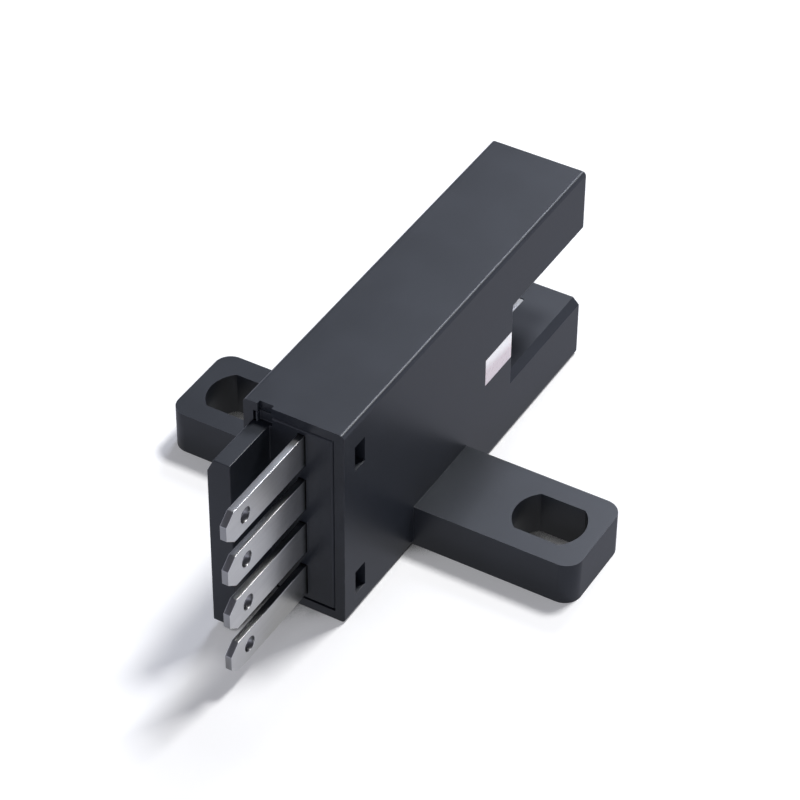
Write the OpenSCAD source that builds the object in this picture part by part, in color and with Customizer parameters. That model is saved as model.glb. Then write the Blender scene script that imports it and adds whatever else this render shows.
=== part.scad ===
// Slotted optical switch with a T-shaped housing and four flat terminals.
// The origin is midway between the mounting holes, on the mounting face.
// +Y runs to the fork tips, +Z up, and the terminals leave towards -Y.

/* [Housing] */
// Width of the housing, side to side
housing_w = 6; // [5:0.1:8]
// Length of the housing, rear face to fork tips
housing_l = 26; // [24:0.5:32]
// Distance from the rear face to the line of the mounting holes
rear_reach = 10; // [9:0.5:12]
// Thickness of the side walls
side_wall = 0.6; // [0.5:0.05:0.8]
// Thickness of the top and bottom walls
cap_wall = 0.55; // [0.5:0.05:0.7]
// Rounding of the long outer edges
edge_r = 0.25; // [0.1:0.05:0.4]

/* [Fork] */
// Gap of the sensing slot
slot_gap = 5; // [4:0.1:7]
// Depth of the sensing slot
slot_depth = 8.2; // [7:0.1:9]
// Height of each fork arm
arm_h = 4; // [3.6:0.1:5]
// Chamfer along the slot's edges on the lower arm
slot_chamfer = 0.4; // [0.2:0.05:0.6]
// Rounding along the slot's edges on the upper arm
slot_edge_r = 0.25; // [0.1:0.05:0.4]
// Wall between the inside of the housing and the slot
slot_wall = 0.6; // [0.5:0.05:0.8]
// Wall at the fork tips
tip_wall = 0.6; // [0.5:0.05:0.9]

/* [Light slits] */
// Width of each light slit
slit_w = 0.6; // [0.4:0.05:0.8]
// Length of each light slit
slit_l = 2; // [1.5:0.1:2.4]
// Distance from the fork tips to the optical axis
axis_inset = 2.6; // [2.4:0.05:3]
// Thickness of the window plates behind the slits
window_t = 0.4; // [0.3:0.05:0.5]
// Margin of a window plate around its slit
window_margin = 0.4; // [0.2:0.05:0.5]
// Depth of a window's face below the arm's face
window_recess = 0.05; // [0.02:0.01:0.2]

/* [Mounting flanges] */
// Distance between the centres of the mounting holes
mount_pitch = 19.5; // [17:0.1:24]
// Diameter of each mounting hole
mount_d = 4.1; // [3.6:0.1:5]
// Distance across the flats of each mounting hole, along Y
mount_flats = 3.1; // [2.6:0.1:3.5]
// Material beyond each mounting hole at the flange's end
flange_end = 0.95; // [0.6:0.05:2]
// Material on each side of a mounting hole's flats
flange_side = 1.35; // [0.8:0.05:2]
// Thickness of the flanges
flange_t = 2.7; // [1.5:0.1:3.4]
// Rounding of the flange's corners
flange_r = 1; // [0.3:0.1:1.8]

/* [Indicator window] */
// Length of the light guide back from the slot's base
guide_l = 2.95; // [2:0.05:3.5]
// Height of the light guide
guide_h = 1.85; // [1:0.05:2.2]
// Height of the light guide above the slot's lower face
guide_lift = 1.5; // [0.6:0.1:1.8]
// Gap around the light guide in its cut-out
guide_gap = 0.03; // [0.01:0.01:0.08]

/* [Rear cover] */
// Thickness of the plug that closes the rear end
cover_t = 2.4; // [2.2:0.1:3]
// Gap between the plug and the housing's walls
cover_gap = 0.05; // [0.02:0.01:0.1]
// Chamfer of the plug's rear edges
cover_chamfer = 0.12; // [0.05:0.01:0.2]
// Length of the guard wall behind the rear face
guard_l = 3.7; // [2:0.1:5]
// Thickness of the guard wall
guard_t = 1.4; // [0.8:0.05:1.6]
// Distance from the housing's left face to the guard wall
guard_inset = 0.15; // [0.05:0.05:0.4]
// Height of the guard wall's lower edge above the mounting face
guard_lift = 0.5; // [0.3:0.1:1.5]
// Drop of the guard wall's upper edge below the housing's top
guard_drop = 1.2; // [1:0.1:2]
// Width of the chamfer along the guard wall's upper outer edge
guard_cut_w = 0.4; // [0.1:0.05:0.6]
// Height of that chamfer
guard_cut_h = 0.85; // [0.2:0.05:1.5]
// Width of the relief notch above the guard wall's root
relief_w = 0.85; // [0.4:0.05:1]
// Depth of the relief notch
relief_l = 0.25; // [0.1:0.05:0.8]
// Reach of the relief notch past the guard wall's inner face
relief_over = 0.17; // [0.05:0.01:0.3]

/* [Latches] */
// Distance from the rear face to the latch windows
latch_inset = 1.05; // [0.8:0.05:1.2]
// Length of a latch window
latch_l = 1; // [0.6:0.05:1.1]
// Height of a latch window
latch_h = 1.6; // [1:0.1:2]
// Height of the lower latch windows' centres
latch_rise = 2; // [1.8:0.1:3]
// Drop of the upper latch windows' centres below the top
latch_drop = 2.3; // [1.8:0.1:3]
// Reach of the latch nubs into the windows
latch_reach = 0.4; // [0.2:0.05:0.5]
// Gap around a latch nub in its window
latch_gap = 0.08; // [0.03:0.01:0.15]

/* [Terminals] */
// Sideways place of the terminal row
terminal_x = 0.45; // [0.3:0.05:0.7]
// Thickness of the terminals
terminal_t = 0.4; // [0.3:0.05:0.5]
// Width of a terminal's blade
terminal_w = 2; // [1.6:0.05:2.2]
// Length of a blade behind the rear face
terminal_l = 7.3; // [6:0.1:9]
// Plastic above the top terminal and below the bottom one
terminal_margin = 0.45; // [0.35:0.05:0.6]
// Gap around a terminal in the rear cover
terminal_gap = 0.03; // [0.01:0.01:0.06]
// Length of the tapered tip
tip_l = 0.7; // [0.3:0.05:1.2]
// Height taken off each side at the tip
tip_cut = 0.55; // [0.2:0.05:0.7]
// Diameter of the wire holes
wire_d = 0.9; // [0.6:0.05:1.2]
// Distance from a terminal's tip to its wire hole
wire_inset = 1.75; // [1.4:0.05:3]
// Step of the shoulder that stops a terminal from pulling out
shoulder_step = 0.2; // [0.1:0.05:0.3]
// Length of that shoulder
shoulder_l = 0.6; // [0.4:0.05:1]
// Width of the tail that is soldered to the board
tail_w = 1.2; // [0.8:0.05:1.5]
// Length of that tail
tail_l = 2.5; // [1.5:0.1:3]
// Width of the solder along each edge of a tail
solder_w = 0.3; // [0.15:0.05:0.4]

/* [Circuit board] */
// Thickness of the board
board_t = 0.8; // [0.6:0.05:1]
// Gap between the board's edges and the housing
board_gap = 0.05; // [0.02:0.01:0.1]
// Gap between the board's rear edge and the cover
board_setback = 0.2; // [0.1:0.05:0.4]
// Gap between the board's front edge and the light guide
board_clear = 0.35; // [0.25:0.05:0.6]
// Gap between the board's prongs and the slot's walls
prong_gap = 0.1; // [0.05:0.05:0.2]
// Gap between the prong tips and the optical packages
prong_clear = 0.4; // [0.2:0.05:0.8]
// Depth of the rails that hold the board
rail_h = 0.5; // [0.3:0.05:0.7]
// Thickness of those rails
rail_t = 0.4; // [0.3:0.05:0.5]
// Distance from the terminal tails to the rails
rail_setback = 0.5; // [0.3:0.1:1]

/* [Optical packages] */
// Width of an optical package
package_w = 2.8; // [2:0.1:3]
// Length of an optical package
package_l = 3; // [2.4:0.1:3.2]
// Height of a package's lens
lens_h = 0.4; // [0.2:0.05:0.5]
// Radius of a package's lens at its foot
lens_r = 0.9; // [0.5:0.05:1.1]
// Gap between a lens and its window plate
lens_gap = 0.1; // [0.05:0.01:0.2]
// Thickness of the optical packages' leads
lead_t = 0.2; // [0.1:0.05:0.3]
// Width of those leads
lead_w = 0.3; // [0.2:0.05:0.35]
// Pitch of those leads
lead_pitch = 0.55; // [0.5:0.05:0.6]
// Overlap of those leads on the board
lead_lap = 1.7; // [1:0.1:2]

/* [Board parts] */
// Length of a chip resistor or capacitor
chip_l = 1.6; // [1:0.1:1.8]
// Width of a chip
chip_w = 0.8; // [0.5:0.05:0.9]
// Height of a chip
chip_h = 0.45; // [0.3:0.05:0.6]
// Length of a chip's metal end caps
chip_cap = 0.3; // [0.2:0.05:0.4]
// Step of those end caps over the chip's body
chip_step = 0.03; // [0.01:0.01:0.05]
// Length of the protection diode
diode_l = 1.7; // [1.4:0.1:2]
// Width of the protection diode
diode_w = 1.25; // [1:0.05:1.4]
// Height of the protection diode
diode_h = 0.9; // [0.6:0.05:1.1]
// Length of the output transistor's body
transistor_l = 2.9; // [2.5:0.1:3.1]
// Width of the output transistor's body
transistor_w = 1.3; // [1.1:0.05:1.4]
// Height of the output transistor's body
transistor_h = 0.9; // [0.7:0.05:1.1]
// Lift of the transistor's body off the board
transistor_lift = 0.1; // [0.05:0.01:0.15]
// Reach of each transistor lead from the body
transistor_lead_l = 0.55; // [0.4:0.05:0.6]
// Thickness of the transistor's leads
transistor_lead_t = 0.12; // [0.08:0.01:0.16]
// Width of the transistor's leads
transistor_lead_w = 0.4; // [0.3:0.05:0.5]
// Pitch of the paired transistor leads
transistor_pitch = 1.9; // [1.6:0.05:2]
// Length of the indicator LED along the board
led_l = 1.2; // [0.8:0.05:1.4]
// Width of the indicator LED
led_w = 1.6; // [1:0.05:1.8]
// Height of the indicator LED off the board
led_h = 1; // [0.6:0.05:1.2]
// Height of the indicator LED's lens
led_lens_h = 0.15; // [0.05:0.01:0.2]
// Radius of the indicator LED's lens
led_lens_r = 0.35; // [0.2:0.05:0.45]
// Gap between neighbouring parts on the board
part_gap = 0.6; // [0.3:0.05:0.7]

/* [Hidden] */
$fn = 64;
// Overrun of a cutting shape past the face that it opens
cut = 1;
// Number of terminals
terminal_count = 4;

// Outer faces of the housing
side_x = housing_w / 2;
rear_y = -rear_reach;
front_y = rear_y + housing_l;
top_z = 2 * arm_h + slot_gap;

// Faces of the sensing slot
slot_y = front_y - slot_depth;
slot_low = arm_h;
slot_high = arm_h + slot_gap;

// Inner faces of the housing
inner_x = side_x - side_wall;
inner_low = cap_wall;
inner_high = top_z - cap_wall;
inner_front = slot_y - slot_wall;
arm_front = front_y - tip_wall;
arm_low_high = slot_low - slot_wall;
arm_high_low = slot_high + slot_wall;

// Optical axis and the room for a package in each arm
axis_y = front_y - axis_inset;
package_back = axis_y - package_l / 2;
package_low_h = arm_low_high - inner_low - window_t - lens_gap - lens_h;
package_high_h = inner_high - arm_high_low - window_t - lens_gap - lens_h;

// Light guide
guide_back = slot_y - guide_l;
guide_low = slot_low + guide_lift;
guide_high = guide_low + guide_h;

// Rear cover
cover_front = rear_y + cover_t;
plug_x = inner_x - cover_gap;
plug_low = inner_low + cover_gap;
plug_high = inner_high - cover_gap;
guard_outer = -side_x + guard_inset;
guard_inner = guard_outer + guard_t;
guard_high = top_z - guard_drop;
relief_right = guard_inner + relief_over;
latch_back = rear_y + latch_inset;
latch_front = latch_back + latch_l;
latch_centres = [latch_rise, top_z - latch_drop];

// Terminal row, spread over the height of the plug
terminal_pitch = (inner_high - inner_low - 2 * terminal_margin - terminal_w) / (terminal_count - 1);
terminal_low_z = inner_low + terminal_margin + terminal_w / 2;
terminal_faces = [terminal_x - terminal_t / 2, terminal_x + terminal_t / 2];
tip_y = rear_y - terminal_l;
wire_y = tip_y + wire_inset;
tail_back = cover_front + shoulder_l;
tail_front = tail_back + tail_l;
function terminal_z(index) = terminal_low_z + (terminal_count - index) * terminal_pitch;

// Circuit board, with its parts on the face that the terminals lie on
board_face = terminal_faces[0];
board_faces = [board_face - board_t, board_face];
board_back = cover_front + board_setback;
board_front = guide_back - board_clear;
board_low = inner_low + board_gap;
board_high = inner_high - board_gap;
prong_front = package_back - prong_clear;
prong_low_high = arm_low_high - prong_gap;
prong_high_low = arm_high_low + prong_gap;
lead_back = prong_front - lead_lap;

// Column of board parts about the middle of the board, from the bottom up:
// the diode, the base, pull-up and indicator resistors, and the transistor
led_back = board_front - led_l;
column_y = (tail_front + led_back) / 2;
column_sizes = [diode_w, chip_w, chip_w, chip_w, transistor_l];
function sum(list, count) = count == 0 ? 0 : list[count - 1] + sum(list, count - 1);
column_h = sum(column_sizes, len(column_sizes)) + (len(column_sizes) - 1) * part_gap;
column_low = top_z / 2 - column_h / 2;
function column_z(place) =
    column_low + sum(column_sizes, place) + place * part_gap + column_sizes[place] / 2;
prong_part_y = (board_front + lead_back) / 2;

// Solid between two X, two Y and two Z values
module block(x, y, z) {
    translate([x[0], y[0], z[0]])
        cube([x[1] - x[0], y[1] - y[0], z[1] - z[0]]);
}

// Extrudes a (Y, Z) outline between two X values
module along_x(x) {
    translate([x[0], 0, 0])
        rotate([90, 0, 90])
            linear_extrude(x[1] - x[0])
                children();
}

// Extrudes an (X, Z) outline between two Y values
module along_y(y) {
    translate([0, y[1], 0])
        rotate([90, 0, 0])
            linear_extrude(y[1] - y[0])
                children();
}

// Extrudes an (X, Y) outline between two Z values
module along_z(z) {
    translate([0, 0, z[0]])
        linear_extrude(z[1] - z[0])
            children();
}

// Rectangle between two pairs of values
module rectangle(across, up) {
    translate([across[0], up[0]])
        square([across[1] - across[0], up[1] - up[0]]);
}

// Rectangle with rounded corners
module rounded_rectangle(across, up, radius) {
    rectangle([across[0] + radius, across[1] - radius], up);
    rectangle(across, [up[0] + radius, up[1] - radius]);
    for (x = [across[0] + radius, across[1] - radius])
        for (y = [up[0] + radius, up[1] - radius])
            translate([x, y])
                circle(radius);
}

// Rectangle whose first edge along Y is chamfered on both sides
module chamfered_rectangle(across, y, chamfer) {
    polygon([
        [across[0] + chamfer, y[0]], [across[1] - chamfer, y[0]],
        [across[1], y[0] + chamfer], [across[1], y[1]],
        [across[0], y[1]], [across[0], y[0] + chamfer]
    ]);
}

// Waste of a rounded edge, in the corner at the origin, on the side of -X and -Y
module edge_waste(radius) {
    difference() {
        rectangle([-radius, 0], [-radius, 0]);
        translate([-radius, -radius])
            circle(radius);
    }
}

// Waste of a chamfered edge, in the corner at the origin, on the side of -X and -Y
module chamfer_waste(chamfer) {
    polygon([[-chamfer - cut, cut], [cut, -chamfer - cut], [cut, cut]]);
}

// Cap of a ball with its foot on the XY plane, pointing up
module lens_cap(foot_r, height) {
    ball_r = (foot_r * foot_r + height * height) / (2 * height);
    intersection() {
        translate([0, 0, height - ball_r])
            sphere(ball_r);
        block([-ball_r, ball_r], [-ball_r, ball_r], [0, height]);
    }
}

// Turns its children over, so that they point down
module pointing_down() {
    mirror([0, 0, 1])
        children();
}

// Housing

module housing_outside() {
    along_y([rear_y, front_y])
        rounded_rectangle([-side_x, side_x], [0, top_z], edge_r);
    reach = mount_pitch / 2 + mount_d / 2 + flange_end;
    half = mount_flats / 2 + flange_side;
    along_z([0, flange_t])
        rounded_rectangle([-reach, reach], [-half, half], flange_r);
}

module board_rails() {
    beside = [
        [board_faces[0] - board_gap - rail_t, board_faces[0] - board_gap],
        [board_faces[1] + board_gap, board_faces[1] + board_gap + rail_t]
    ];
    rail_y = [tail_front + rail_setback, board_front];
    for (x = beside) {
        block(x, rail_y, [inner_low, inner_low + rail_h]);
        block(x, rail_y, [inner_high - rail_h, inner_high]);
    }
}

module housing_inside() {
    difference() {
        union() {
            block([-inner_x, inner_x], [rear_y - cut, inner_front], [inner_low, inner_high]);
            block([-inner_x, inner_x], [rear_y - cut, arm_front], [inner_low, arm_low_high]);
            block([-inner_x, inner_x], [rear_y - cut, arm_front], [arm_high_low, inner_high]);
        }
        board_rails();
    }
}

module sensing_slot() {
    along_y([slot_y, front_y + cut]) {
        rectangle([-side_x - cut, side_x + cut], [slot_low, slot_high]);
        for (side = [0, 1])
            mirror([side, 0]) {
                translate([side_x, slot_low])
                    chamfer_waste(slot_chamfer);
                translate([side_x, slot_high])
                    mirror([0, 1])
                        edge_waste(slot_edge_r);
            }
    }
}

module light_slits() {
    slit_y = [axis_y - slit_l / 2, axis_y + slit_l / 2];
    block([-slit_w / 2, slit_w / 2], slit_y, [arm_low_high - cut, arm_high_low + cut]);
}

module guide_cut_out() {
    block([-side_x - cut, side_x + cut], [guide_back, slot_y + cut], [guide_low, guide_high]);
}

module latch_windows() {
    for (z = latch_centres)
        block([-side_x - cut, side_x + cut], [latch_back, latch_front], [z - latch_h / 2, z + latch_h / 2]);
}

module relief_notch() {
    block(
        [relief_right - relief_w, relief_right],
        [rear_y - cut, rear_y + relief_l],
        [guard_high, top_z + cut]
    );
}

// Round holes with a flat on each side
module mounting_holes() {
    half = mount_flats / 2;
    for (x = [-mount_pitch / 2, mount_pitch / 2])
        translate([x, 0, -cut])
            intersection() {
                cylinder(d = mount_d, h = flange_t + 2 * cut);
                block([-mount_d, mount_d], [-half, half], [0, flange_t + 2 * cut]);
            }
}

module housing() {
    color("#2e3035")
        difference() {
            housing_outside();
            housing_inside();
            sensing_slot();
            light_slits();
            guide_cut_out();
            latch_windows();
            relief_notch();
            mounting_holes();
        }
}

// Rear cover

module cover_plug() {
    intersection() {
        along_z([plug_low, plug_high])
            chamfered_rectangle([-plug_x, plug_x], [rear_y, cover_front], cover_chamfer);
        along_x([-plug_x, plug_x])
            mirror([1, -1])
                chamfered_rectangle([plug_low, plug_high], [rear_y, cover_front], cover_chamfer);
    }
}

module guard_wall() {
    along_y([rear_y - guard_l, rear_y])
        polygon([
            [guard_outer, guard_lift], [guard_inner, guard_lift], [guard_inner, guard_high],
            [guard_outer + guard_cut_w, guard_high], [guard_outer, guard_high - guard_cut_h]
        ]);
}

module latch_nubs() {
    nub_h = latch_h - 2 * latch_gap;
    for (z = latch_centres)
        for (side = [0, 1])
            mirror([side, 0, 0])
                along_z([z - nub_h / 2, z + nub_h / 2])
                    polygon([
                        [plug_x - latch_reach, latch_back + latch_gap],
                        [plug_x + latch_reach, latch_back + latch_gap],
                        [plug_x, latch_front - latch_gap],
                        [plug_x - latch_reach, latch_front - latch_gap]
                    ]);
}

module terminal_passages() {
    for (index = [1:terminal_count])
        block(
            [terminal_faces[0] - terminal_gap, terminal_faces[1] + terminal_gap],
            [rear_y - cut, cover_front + cut],
            [
                terminal_z(index) - terminal_w / 2 - terminal_gap,
                terminal_z(index) + terminal_w / 2 + terminal_gap
            ]
        );
}

module rear_cover() {
    color("#292b2f")
        difference() {
            union() {
                cover_plug();
                guard_wall();
                latch_nubs();
            }
            terminal_passages();
            relief_notch();
        }
}

// Light guide and light windows

module light_guide() {
    color("#e9e2df")
        block(
            [-side_x, side_x],
            [guide_back + guide_gap, slot_y],
            [guide_low + guide_gap, guide_high - guide_gap]
        );
}

// Window plate with its tongue in the slit, on the foot plane of the slit's wall, pointing up
module light_window() {
    plate = [slit_w / 2 + window_margin, slit_l / 2 + window_margin];
    tongue = [slit_w / 2 - guide_gap, slit_l / 2 - guide_gap];
    block(
        [-plate[0], plate[0]],
        [axis_y - plate[1], axis_y + plate[1]],
        [-window_t, 0]
    );
    block(
        [-tongue[0], tongue[0]],
        [axis_y - tongue[1], axis_y + tongue[1]],
        [-window_t, slot_wall - window_recess]
    );
}

module receiver_window() {
    color("#d9cfd2")
        translate([0, 0, arm_low_high])
            light_window();
}

module emitter_window() {
    color("#d9cfd2")
        translate([0, 0, arm_high_low])
            pointing_down()
                light_window();
}

// Terminals

// Outline of a terminal from its tip to its tail, about its own height
module terminal_outline() {
    half = terminal_w / 2;
    shoulder = half + shoulder_step;
    upper = [
        [tip_y, half - tip_cut], [tip_y + tip_l, half], [cover_front, half], [cover_front, shoulder],
        [tail_back, shoulder], [tail_back, tail_w / 2], [tail_front, tail_w / 2]
    ];
    lower = [for (place = [len(upper) - 1:-1:0]) [upper[place][0], -upper[place][1]]];
    difference() {
        polygon(concat(upper, lower));
        translate([wire_y, 0])
            circle(d = wire_d);
    }
}

module terminal(index) {
    color("#c9cbcd")
        translate([0, 0, terminal_z(index)])
            along_x(terminal_faces)
                terminal_outline();
}

module terminal_1() terminal(1);
module terminal_2() terminal(2);
module terminal_3() terminal(3);
module terminal_4() terminal(4);

module terminal_solder() {
    color("#b4b7ba")
        for (index = [1:terminal_count])
            for (side = [0, 1])
                translate([0, 0, terminal_z(index)])
                    mirror([0, 0, side])
                        along_y([tail_back, tail_front])
                            polygon([
                                [terminal_faces[0], tail_w / 2],
                                [terminal_faces[1], tail_w / 2],
                                [terminal_faces[0], tail_w / 2 + solder_w]
                            ]);
}

// Circuit board and the parts on it

module circuit_board() {
    color("#3f6b4a")
        along_x(board_faces) {
            rectangle([board_back, board_front], [board_low, board_high]);
            rectangle([board_back, prong_front], [board_low, prong_low_high]);
            rectangle([board_back, prong_front], [prong_high_low, board_high]);
        }
}

// Optical package with its lens, standing on the XY plane, pointing up
module optical_package(height) {
    block([-package_w / 2, package_w / 2], [package_back, axis_y + package_l / 2], [0, height]);
    translate([0, axis_y, height])
        lens_cap(lens_r, lens_h);
}

// Row of leads from a package's rear face onto the board, about a height
module lead_row(count, middle) {
    for (place = [0:count - 1]) {
        z = middle + (place - (count - 1) / 2) * lead_pitch;
        block([board_face, board_face + lead_t], [lead_back, package_back], [z - lead_w / 2, z + lead_w / 2]);
    }
}

module emitter() {
    color("#cfc7da")
        translate([0, 0, inner_high])
            pointing_down()
                optical_package(package_high_h);
}

module emitter_leads() {
    color("#c9cbcd")
        lead_row(2, inner_high - package_high_h / 2);
}

module receiver() {
    color("#3a3340")
        translate([0, 0, inner_low])
            optical_package(package_low_h);
}

module receiver_leads() {
    color("#c9cbcd")
        lead_row(3, inner_low + package_low_h / 2);
}

module indicator_led() {
    middle = (guide_low + guide_high) / 2;
    color("#e8d9d2") {
        block([board_face, board_face + led_h], [led_back, board_front], [middle - led_w / 2, middle + led_w / 2]);
        translate([board_face + led_h / 2, board_front, middle])
            rotate([-90, 0, 0])
                lens_cap(led_lens_r, led_lens_h);
    }
}

// Chip part with metal end caps, along Y, about a place on the board
module chip(y, z) {
    cap_y = [chip_l / 2 - chip_cap, chip_l / 2];
    body_h = chip_h - chip_step;
    translate([board_face, y, z]) {
        block([0, body_h], [-cap_y[0], cap_y[0]], [chip_step - chip_w / 2, chip_w / 2 - chip_step]);
        for (side = [0, 1])
            mirror([0, side, 0])
                block([0, chip_h], cap_y, [-chip_w / 2, chip_w / 2]);
    }
}

module protection_diode() {
    color("#26262a")
        translate([board_face, column_y, column_z(0)])
            block([0, diode_h], [-diode_l / 2, diode_l / 2], [-diode_w / 2, diode_w / 2]);
}

module base_resistor() color("#3b3b40") chip(column_y, column_z(1));
module pullup_resistor() color("#3b3b40") chip(column_y, column_z(2));
module indicator_resistor() color("#3b3b40") chip(column_y, column_z(3));

module led_resistor() {
    color("#3b3b40")
        chip(prong_part_y, (prong_high_low + board_high) / 2);
}

module bypass_capacitor() {
    color("#b79f80")
        chip(prong_part_y, (board_low + prong_low_high) / 2);
}

module output_transistor() {
    color("#26262a")
        translate([board_face + transistor_lift, column_y, column_z(4)])
            block(
                [0, transistor_h],
                [-transistor_w / 2, transistor_w / 2],
                [-transistor_l / 2, transistor_l / 2]
            );
}

// Lead of the transistor: a foot on the board, a riser and an arm to the body, towards +Y
module transistor_lead() {
    side = transistor_w / 2;
    bend = side + transistor_lead_l / 2;
    arm = transistor_lift + transistor_h / 2;
    rectangle([0, transistor_lead_t], [bend - transistor_lead_t, side + transistor_lead_l]);
    rectangle([0, arm], [bend - transistor_lead_t, bend]);
    rectangle([arm - transistor_lead_t, arm], [side, bend]);
}

module transistor_leads() {
    half = transistor_lead_w / 2;
    color("#c9cbcd")
        translate([board_face, column_y, column_z(4)]) {
            along_z([-half, half])
                transistor_lead();
            for (z = [-transistor_pitch / 2, transistor_pitch / 2])
                mirror([0, 1, 0])
                    along_z([z - half, z + half])
                        transistor_lead();
        }
}

housing();
rear_cover();
light_guide();
emitter_window();
receiver_window();
terminal_1();
terminal_2();
terminal_3();
terminal_4();
terminal_solder();
circuit_board();
emitter();
emitter_leads();
receiver();
receiver_leads();
indicator_led();
output_transistor();
transistor_leads();
protection_diode();
bypass_capacitor();
led_resistor();
indicator_resistor();
pullup_resistor();
base_resistor();
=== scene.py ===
"""Looks of a slotted optical switch, dressed over its fixed frame.

A black T-shaped housing with a forked front, a rear cover with a guard wall, four tinned terminals,
a milky light guide and two light windows, around a small circuit board with its parts.
Lengths are in metres, in the frame's own axes: +Y to the fork tips, +Z up.
"""

import logging
import math
from collections.abc import Callable, Sequence
from dataclasses import dataclass
from enum import Enum
from functools import cache

import bmesh
import bpy
from mathutils import Matrix, Vector


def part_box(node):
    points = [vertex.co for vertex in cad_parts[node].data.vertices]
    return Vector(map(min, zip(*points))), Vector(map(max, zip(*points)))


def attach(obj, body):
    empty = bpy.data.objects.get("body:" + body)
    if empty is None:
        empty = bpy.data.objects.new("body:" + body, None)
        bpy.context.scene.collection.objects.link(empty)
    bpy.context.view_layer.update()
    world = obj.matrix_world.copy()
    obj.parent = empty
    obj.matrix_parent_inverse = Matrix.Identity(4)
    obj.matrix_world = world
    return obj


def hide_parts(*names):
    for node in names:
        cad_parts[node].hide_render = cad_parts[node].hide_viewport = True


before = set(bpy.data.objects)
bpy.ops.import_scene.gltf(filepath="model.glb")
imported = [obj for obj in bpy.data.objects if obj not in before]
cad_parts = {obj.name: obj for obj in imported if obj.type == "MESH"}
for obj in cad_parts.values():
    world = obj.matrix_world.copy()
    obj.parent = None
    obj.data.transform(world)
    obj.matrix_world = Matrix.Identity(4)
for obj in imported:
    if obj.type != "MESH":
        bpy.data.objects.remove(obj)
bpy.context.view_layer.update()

LOG = logging.getLogger("slotted_optical_switch")
MM = 0.001
BODY = "root"
# Fourth coordinate of every noise and cell pattern
SEED = 7.0

Colour = tuple[float, float, float]
Direction = tuple[float, float, float]
Limits = tuple[float, float]
Node = bpy.types.Node
Piece = bpy.types.Object
Socket = bpy.types.NodeSocket
Tree = bpy.types.NodeTree
Value = float | Socket

WHITE: Colour = (1.0, 1.0, 1.0)


class Slot(Enum):
    """Material slots of the record, one listed for each new piece."""

    HOUSING = "housing_plastic"
    COVER = "cover_plastic"
    MILKY = "milky_plastic"
    WINDOW = "window_plastic"
    TIN = "tinned_metal"
    RESISTOR = "resistor_ceramic"
    CAPACITOR = "capacitor_ceramic"


class Sketch:
    """Short calls that draw one node tree.

    Attributes:
        MIX_FIRST: Place of the first colour among a mix node's inputs.
        MIX_SECOND: Place of the second colour.
        MIX_RESULT: Place of the mixed colour among its outputs.
    """

    MIX_FIRST = 6
    MIX_SECOND = 7
    MIX_RESULT = 2

    def __init__(self, tree: Tree) -> None:
        """Keeps the tree that the calls draw in."""
        self.tree = tree

    def add(self, kind: str, values: dict[str, Value] | None = None, **settings: object) -> Node:
        """Adds a node.

        Args:
            kind: Blender's name for the type of node.
            values: Inputs by name, each a constant or a socket that feeds it.
            settings: Properties of the node itself.

        Returns:
            The new node.
        """
        node = self.tree.nodes.new(kind)
        for name, setting in settings.items():
            setattr(node, name, setting)
        for name, value in (values or {}).items():
            self.feed(node.inputs[name], value)
        return node

    def feed(self, target: Socket, value: object) -> None:
        """Sets an input to a constant, or links a socket to it.

        Args:
            target: The input.
            value: A constant, or the output that feeds it.
        """
        if isinstance(value, Socket):
            self.tree.links.new(value, target)
        else:
            target.default_value = value

    def math(self, operation: str, *values: Value) -> Socket:
        """Adds a sum of one, two or three values.

        Args:
            operation: Blender's name for the sum.
            values: The values, constants or sockets.

        Returns:
            The result's socket.
        """
        node = self.add("ShaderNodeMath", operation=operation)
        for place, value in enumerate(values):
            self.feed(node.inputs[place], value)
        return node.outputs[0]

    def blend(self, share: Value, first: object, second: object) -> Socket:
        """Mixes two colours.

        Args:
            share: How much of the second colour shows.
            first: The first colour.
            second: The second colour.

        Returns:
            The mixed colour's socket.
        """
        node = self.add("ShaderNodeMix", data_type="RGBA")
        self.feed(node.inputs["Factor"], share)
        self.feed(node.inputs[self.MIX_FIRST], first)
        self.feed(node.inputs[self.MIX_SECOND], second)
        return node.outputs[self.MIX_RESULT]

    def spread(self, value: Socket, low: float, high: float) -> Socket:
        """Spreads the stretch of a value between two limits over 0 to 1.

        Args:
            value: The value.
            low: What becomes 0.
            high: What becomes 1.

        Returns:
            The spread value's socket.
        """
        limits = {"From Min": low, "From Max": high}
        node = self.add("ShaderNodeMapRange", limits, interpolation_type="SMOOTHSTEP")
        self.feed(node.inputs["Value"], value)
        return node.outputs["Result"]

    def place(self) -> Socket:
        """Gives the place on the object."""
        return self.add("ShaderNodeTexCoord").outputs["Object"]

    def noise(self, place: Socket, scale: Socket, detail: float, roughness: float) -> Socket:
        """Adds a noise pattern.

        Args:
            place: The place that the pattern is read at.
            scale: How fine the pattern is.
            detail: Number of finer layers in it.
            roughness: How strong they are.

        Returns:
            The pattern's socket.
        """
        values = {"Vector": place, "W": SEED, "Scale": scale, "Detail": detail, "Roughness": roughness}
        return self.add("ShaderNodeTexNoise", values, noise_dimensions="4D").outputs[0]


def opaque(colour: Colour) -> tuple[float, float, float, float]:
    """Gives a colour its full alpha."""
    return (*colour, 1.0)


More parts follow.
